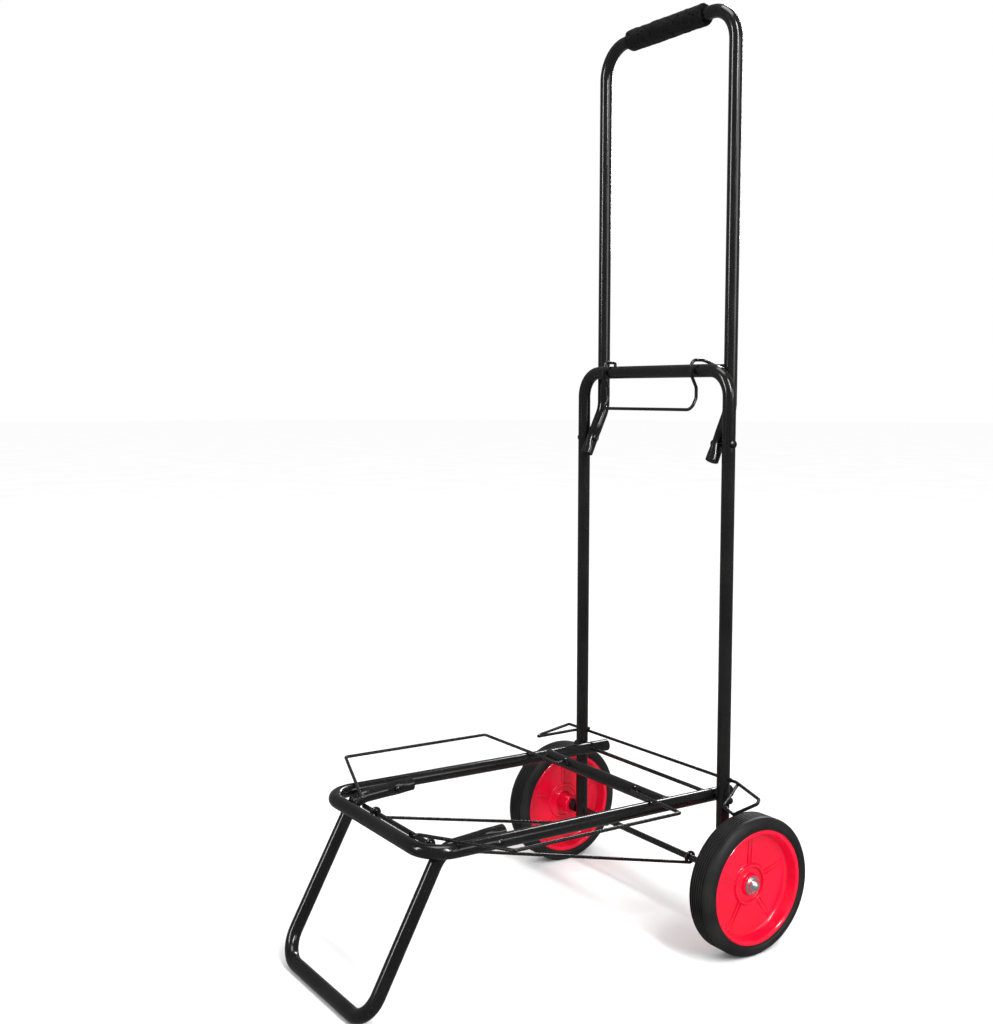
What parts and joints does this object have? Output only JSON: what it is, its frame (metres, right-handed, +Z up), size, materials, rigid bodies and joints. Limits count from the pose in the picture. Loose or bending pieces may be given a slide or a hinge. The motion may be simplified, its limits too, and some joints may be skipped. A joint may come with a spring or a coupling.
{
  "type": "folding hand truck",
  "caption": "Folding luggage hand truck: U-shaped handle with a foam grip, folding platform with wire side wings and a front leg, red-hubbed wheels.",
  "frame": {"origin": "the middle of the rectangle that the open truck covers on the ground, at ground level", "axes": "+Z up, -Y towards the front of the platform, +X along the axle towards the truck's right-hand wheel seen from behind the handle"},
  "size_m": [0.4278, 0.5576, 1.129],
  "materials": {
    "black_paint": "gloss powder coat",
    "black_wire": "satin coat",
    "black_plastic": "moulded",
    "dark_rod": "satin coat",
    "rivet_steel": "blackened",
    "chrome": "bright plated",
    "foam": "closed-cell foam",
    "tyre_rubber": "moulded rubber",
    "red_plastic": "gloss moulded",
    "nylon": "natural nylon"
  },
  "bodies": {
    "frame": {"main_frame": "black_paint", "frame_plugs": "black_plastic", "cord_hook_wire": "black_wire", "platform_pivot_rod": "dark_rod", "pivot_caps": "black_plastic", "handle_rivets": "rivet_steel", "axle": "dark_rod", "axle_spacers": "black_paint", "axle_washers": "chrome", "axle_nuts": "chrome"},
    "handle": {"handle_tube": "black_paint", "handle_plugs": "black_plastic", "foam_grip": "foam"},
    "latch": {"latch_bail": "black_wire"},
    "platform": {"platform_frame": "black_paint", "platform_plugs": "black_plastic", "platform_crossbar": "black_paint", "wing_lugs": "black_paint", "leg_rivets": "rivet_steel"},
    "wing_left": {"wing_left": "black_wire"},
    "wing_right": {"wing_right": "black_wire"},
    "leg": {"leg_tube": "black_paint", "leg_plugs": "black_plastic"},
    "braces": {"brace_left": "black_wire", "brace_right": "black_wire", "brace_rod": "dark_rod"},
    "wheel_left": {"tyre_left": "tyre_rubber", "hub_left": "red_plastic", "bush_left": "nylon"},
    "wheel_right": {"tyre_right": "tyre_rubber", "hub_right": "red_plastic", "bush_right": "nylon"}
  },
  "joints": [
    {"name": "handle_fold", "type": "hinge", "parent": "frame", "child": "handle", "pos_m": [0, 0.19625, 0.601], "axis": [-1, 0, 0], "range_deg": [0, 168]},
    {"name": "latch_lift", "type": "hinge", "parent": "handle", "child": "latch", "pos_m": [0, 0.21525, 0.694], "axis": [-1, 0, 0], "range_deg": [0, 100]},
    {"name": "platform_fold", "type": "hinge", "parent": "frame", "child": "platform", "pos_m": [0, 0.19625, 0.1735], "axis": [-1, 0, 0], "range_deg": [0, 84]},
    {"name": "leg_fold", "type": "hinge", "parent": "platform", "child": "leg", "pos_m": [0, -0.12169, 0.1796], "axis": [1, 0, 0], "range_deg": [0, 117.5]},
    {"name": "brace_swing", "type": "hinge", "parent": "frame", "child": "braces", "pos_m": [0, 0.19625, 0.0825], "axis": [-1, 0, 0], "range_deg": [0, 67.4]},
    {"name": "wing_right_fold", "type": "hinge", "parent": "platform", "child": "wing_right", "pos_m": [0.07, 0.19635, 0.1785], "axis": [0, -0.9998, 0.0192], "range_deg": [0, 152]},
    {"name": "wing_left_fold", "type": "hinge", "parent": "platform", "child": "wing_left", "pos_m": [-0.07, 0.19635, 0.1785], "axis": [0, 0.9998, -0.0192], "range_deg": [0, 162.1]},
    {"name": "wheel_left_spin", "type": "hinge", "parent": "frame", "child": "wheel_left", "pos_m": [-0.18275, 0.19625, 0.0825], "axis": [1, 0, 0], "continuous": true},
    {"name": "wheel_right_spin", "type": "hinge", "parent": "frame", "child": "wheel_right", "pos_m": [0.18275, 0.19625, 0.0825], "axis": [1, 0, 0], "continuous": true}
  ],
  "couplings": [
    {"joint": "leg_fold", "follows": "platform_fold", "ratio": 1.3976},
    {"joint": "brace_swing", "follows": "platform_fold", "ratio": 0.801},
    {"joint": "wing_right_fold", "follows": "platform_fold", "ratio": 1.8083},
    {"joint": "wing_left_fold", "follows": "platform_fold", "ratio": 1.9274}
  ]
}
